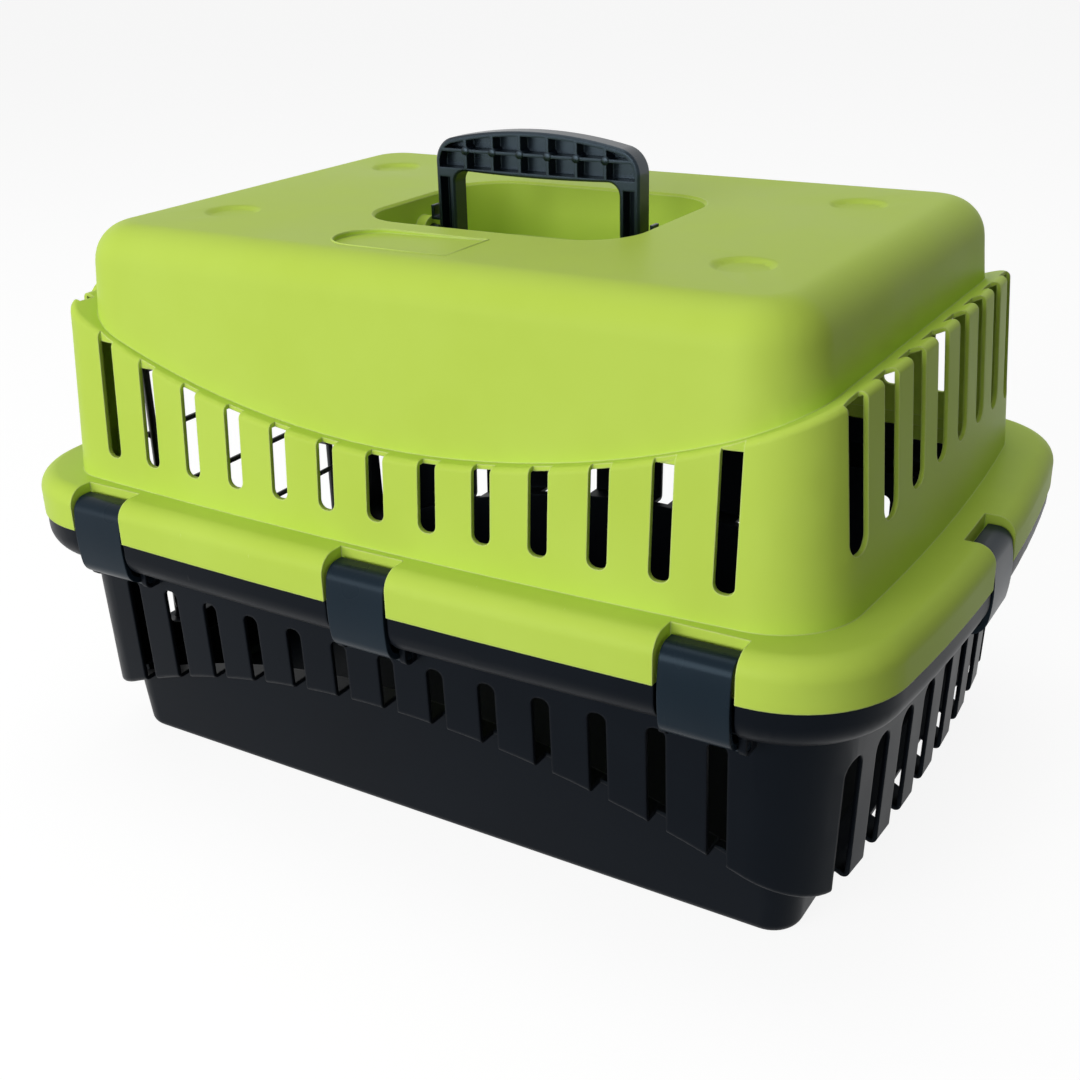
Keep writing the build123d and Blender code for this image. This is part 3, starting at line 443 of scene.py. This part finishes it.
def paper_floor(scene, colour):
    """A square of paper under the carrier. To the background rays it is mostly glow, so that it shows white and
    keeps a soft shadow, and to the others it is a dim surface that throws little light back up."""
    # Matt paper: no gloss at all, and a faint tooth
    material, tree = empty_material("matt white paper")
    place = node(tree, "ShaderNodeTexCoord")
    tooth = node(tree, "ShaderNodeTexNoise", {"Scale": 1 / (PAPER_TOOTH * MM)}, [("Vector", place, "Object")])
    bumps = node(tree, "ShaderNodeBump", {"Strength": 0.05, "Distance": 0.2 * MM}, [("Height", tooth, "Fac")])
    paper = node(tree, "ShaderNodeBsdfDiffuse", {"Color": linear(colour)}, [("Normal", bumps, "Normal")])
    dim = node(tree, "ShaderNodeBsdfDiffuse", {"Color": (FLOOR_BOUNCE, FLOOR_BOUNCE, FLOOR_BOUNCE, 1)},
               [("Normal", bumps, "Normal")])
    glow = node(tree, "ShaderNodeEmission", {"Strength": FLOOR_GLOW})
    lit = node(tree, "ShaderNodeMixShader", {0: GLOW_SHARE}, [(1, paper, 0), (2, glow, 0)])
    both = node(tree, "ShaderNodeMixShader", links=[(0, *background_rays(tree)), (1, dim, 0), (2, lit, 0)])
    node(tree, "ShaderNodeOutputMaterial", links=[("Surface", both, 0)])

    corners = np.array([(-1, -1), (1, -1), (1, 1), (-1, 1)]) * FLOOR_HALF
    mesh = bpy.data.meshes.new("floor")
    mesh.from_pydata(np.column_stack([corners, np.full(4, -FLOOR_DROP)]).tolist(), [], [(0, 1, 2, 3)])
    mesh.materials.append(material)
    floor = bpy.data.objects.new("floor", mesh)
    scene.collection.objects.link(floor)
    return floor


def white_world(scene):
    """A world that is white to the background rays and gives the others a little even light."""
    world = bpy.data.worlds.new("studio")
    world.use_nodes = True
    tree = world.node_tree
    tree.nodes.clear()
    soft = node(tree, "ShaderNodeBackground", {"Color": (1, 1, 1, 1), "Strength": WORLD_LIGHT})
    white = node(tree, "ShaderNodeBackground", {"Color": (1, 1, 1, 1), "Strength": 1})
    both = node(tree, "ShaderNodeMixShader", links=[(0, *background_rays(tree)), (1, soft, 0), (2, white, 0)])
    node(tree, "ShaderNodeOutputWorld", links=[("Surface", both, 0)])
    scene.world = world


def lamp(scene, name, power, width, place, aim):
    """A square lamp of a power and width at place, turned to face aim."""
    data = bpy.data.lights.new(name, "AREA")
    data.energy, data.size = power, width
    obj = bpy.data.objects.new(name, data)
    obj.location = place
    obj.rotation_euler = (Vector(aim) - Vector(place)).to_track_quat("-Z", "Y").to_euler()
    scene.collection.objects.link(obj)
    return obj


def photo_camera(scene, studio):
    """The camera at the photo's viewing angle. It stands at a distance from the carrier's middle, in the
    direction of azimuth and elevation. It is rolled about its line of sight, then slid right and up in its own
    plane."""
    turn, rise = studio.azimuth, studio.elevation
    ahead = -Vector((math.sin(turn) * math.cos(rise), -math.cos(turn) * math.cos(rise), math.sin(rise)))
    level = ahead.cross(Vector((0, 0, 1))).normalized()
    upright = level.cross(ahead)
    cosine, sine = math.cos(studio.roll), math.sin(studio.roll)
    right = cosine * level + sine * upright
    up = -sine * level + cosine * upright
    spot = Vector((0, 0, studio.aim_height)) - ahead * studio.distance
    spot += right * studio.slide[0] + up * studio.slide[1]
    data = bpy.data.cameras.new("camera")
    data.sensor_width, data.lens = 36, studio.lens
    data.clip_start, data.clip_end = 0.01, 50
    camera = bpy.data.objects.new("camera", data)
    camera.matrix_world = Matrix.Translation(spot) @ Matrix((right, up, -ahead)).transposed().to_4x4()
    scene.collection.objects.link(camera)
    scene.camera = camera


class CARRIER_OT_stage(bpy.types.Operator):
    """Set up the floor, the lamps, the world and the camera"""

    bl_idname = "carrier.stage"
    bl_label = "Studio"

    def execute(self, context):
        scene, studio = context.scene, context.scene.carrier_studio
        paper_floor(scene, scene.carrier_colours.floor)
        white_world(scene)
        lamp(scene, "key lamp", studio.key_power, 1.4, (-0.25, -2.2, 0.6), LOW_AIM)
        lamp(scene, "side lamp", studio.side_power, 1.1, (-1.25, -1.95, 0.45), LOW_AIM)
        lamp(scene, "top lamp", studio.top_power, 1.6, (-0.3, 0.2, 2.2), TOP_AIM)
        photo_camera(scene, studio)
        scene.view_settings.view_transform = "Standard"
        return {"FINISHED"}


OPERATORS = [CARRIER_OT_shells, CARRIER_OT_clips, CARRIER_OT_handle, CARRIER_OT_door, CARRIER_OT_stage]
SETTINGS = {"carrier_colours": CarrierColours, "carrier_trim": CarrierTrim, "carrier_studio": CarrierStudio}


class CARRIER_PT_panel(bpy.types.Panel):
    """Lists the carrier's operators and settings"""

    bl_idname = "CARRIER_PT_panel"
    bl_label = "Pet Carrier"
    bl_space_type = "VIEW_3D"
    bl_region_type = "UI"
    bl_category = "Carrier"

    def draw(self, context):
        for operator in OPERATORS:
            self.layout.operator(operator.bl_idname)
        for group, settings in SETTINGS.items():
            for key in settings.__annotations__:
                self.layout.prop(getattr(context.scene, group), key)


CLASSES = [*SETTINGS.values(), *OPERATORS, CARRIER_PT_panel]


def register():
    """Registers the classes and gives the scene its settings."""
    for item in CLASSES:
        bpy.utils.register_class(item)
    for group, settings in SETTINGS.items():
        setattr(bpy.types.Scene, group, bpy.props.PointerProperty(type=settings))


def unregister():
    """Takes the settings and the classes away again."""
    for group in SETTINGS:
        delattr(bpy.types.Scene, group)
    for item in reversed(CLASSES):
        bpy.utils.unregister_class(item)


def main():
    register()
    bpy.ops.carrier.shells()
    bpy.ops.carrier.clips()
    bpy.ops.carrier.handle()
    bpy.ops.carrier.door()
    bpy.ops.carrier.stage()


if __name__ == "__main__":
    main()
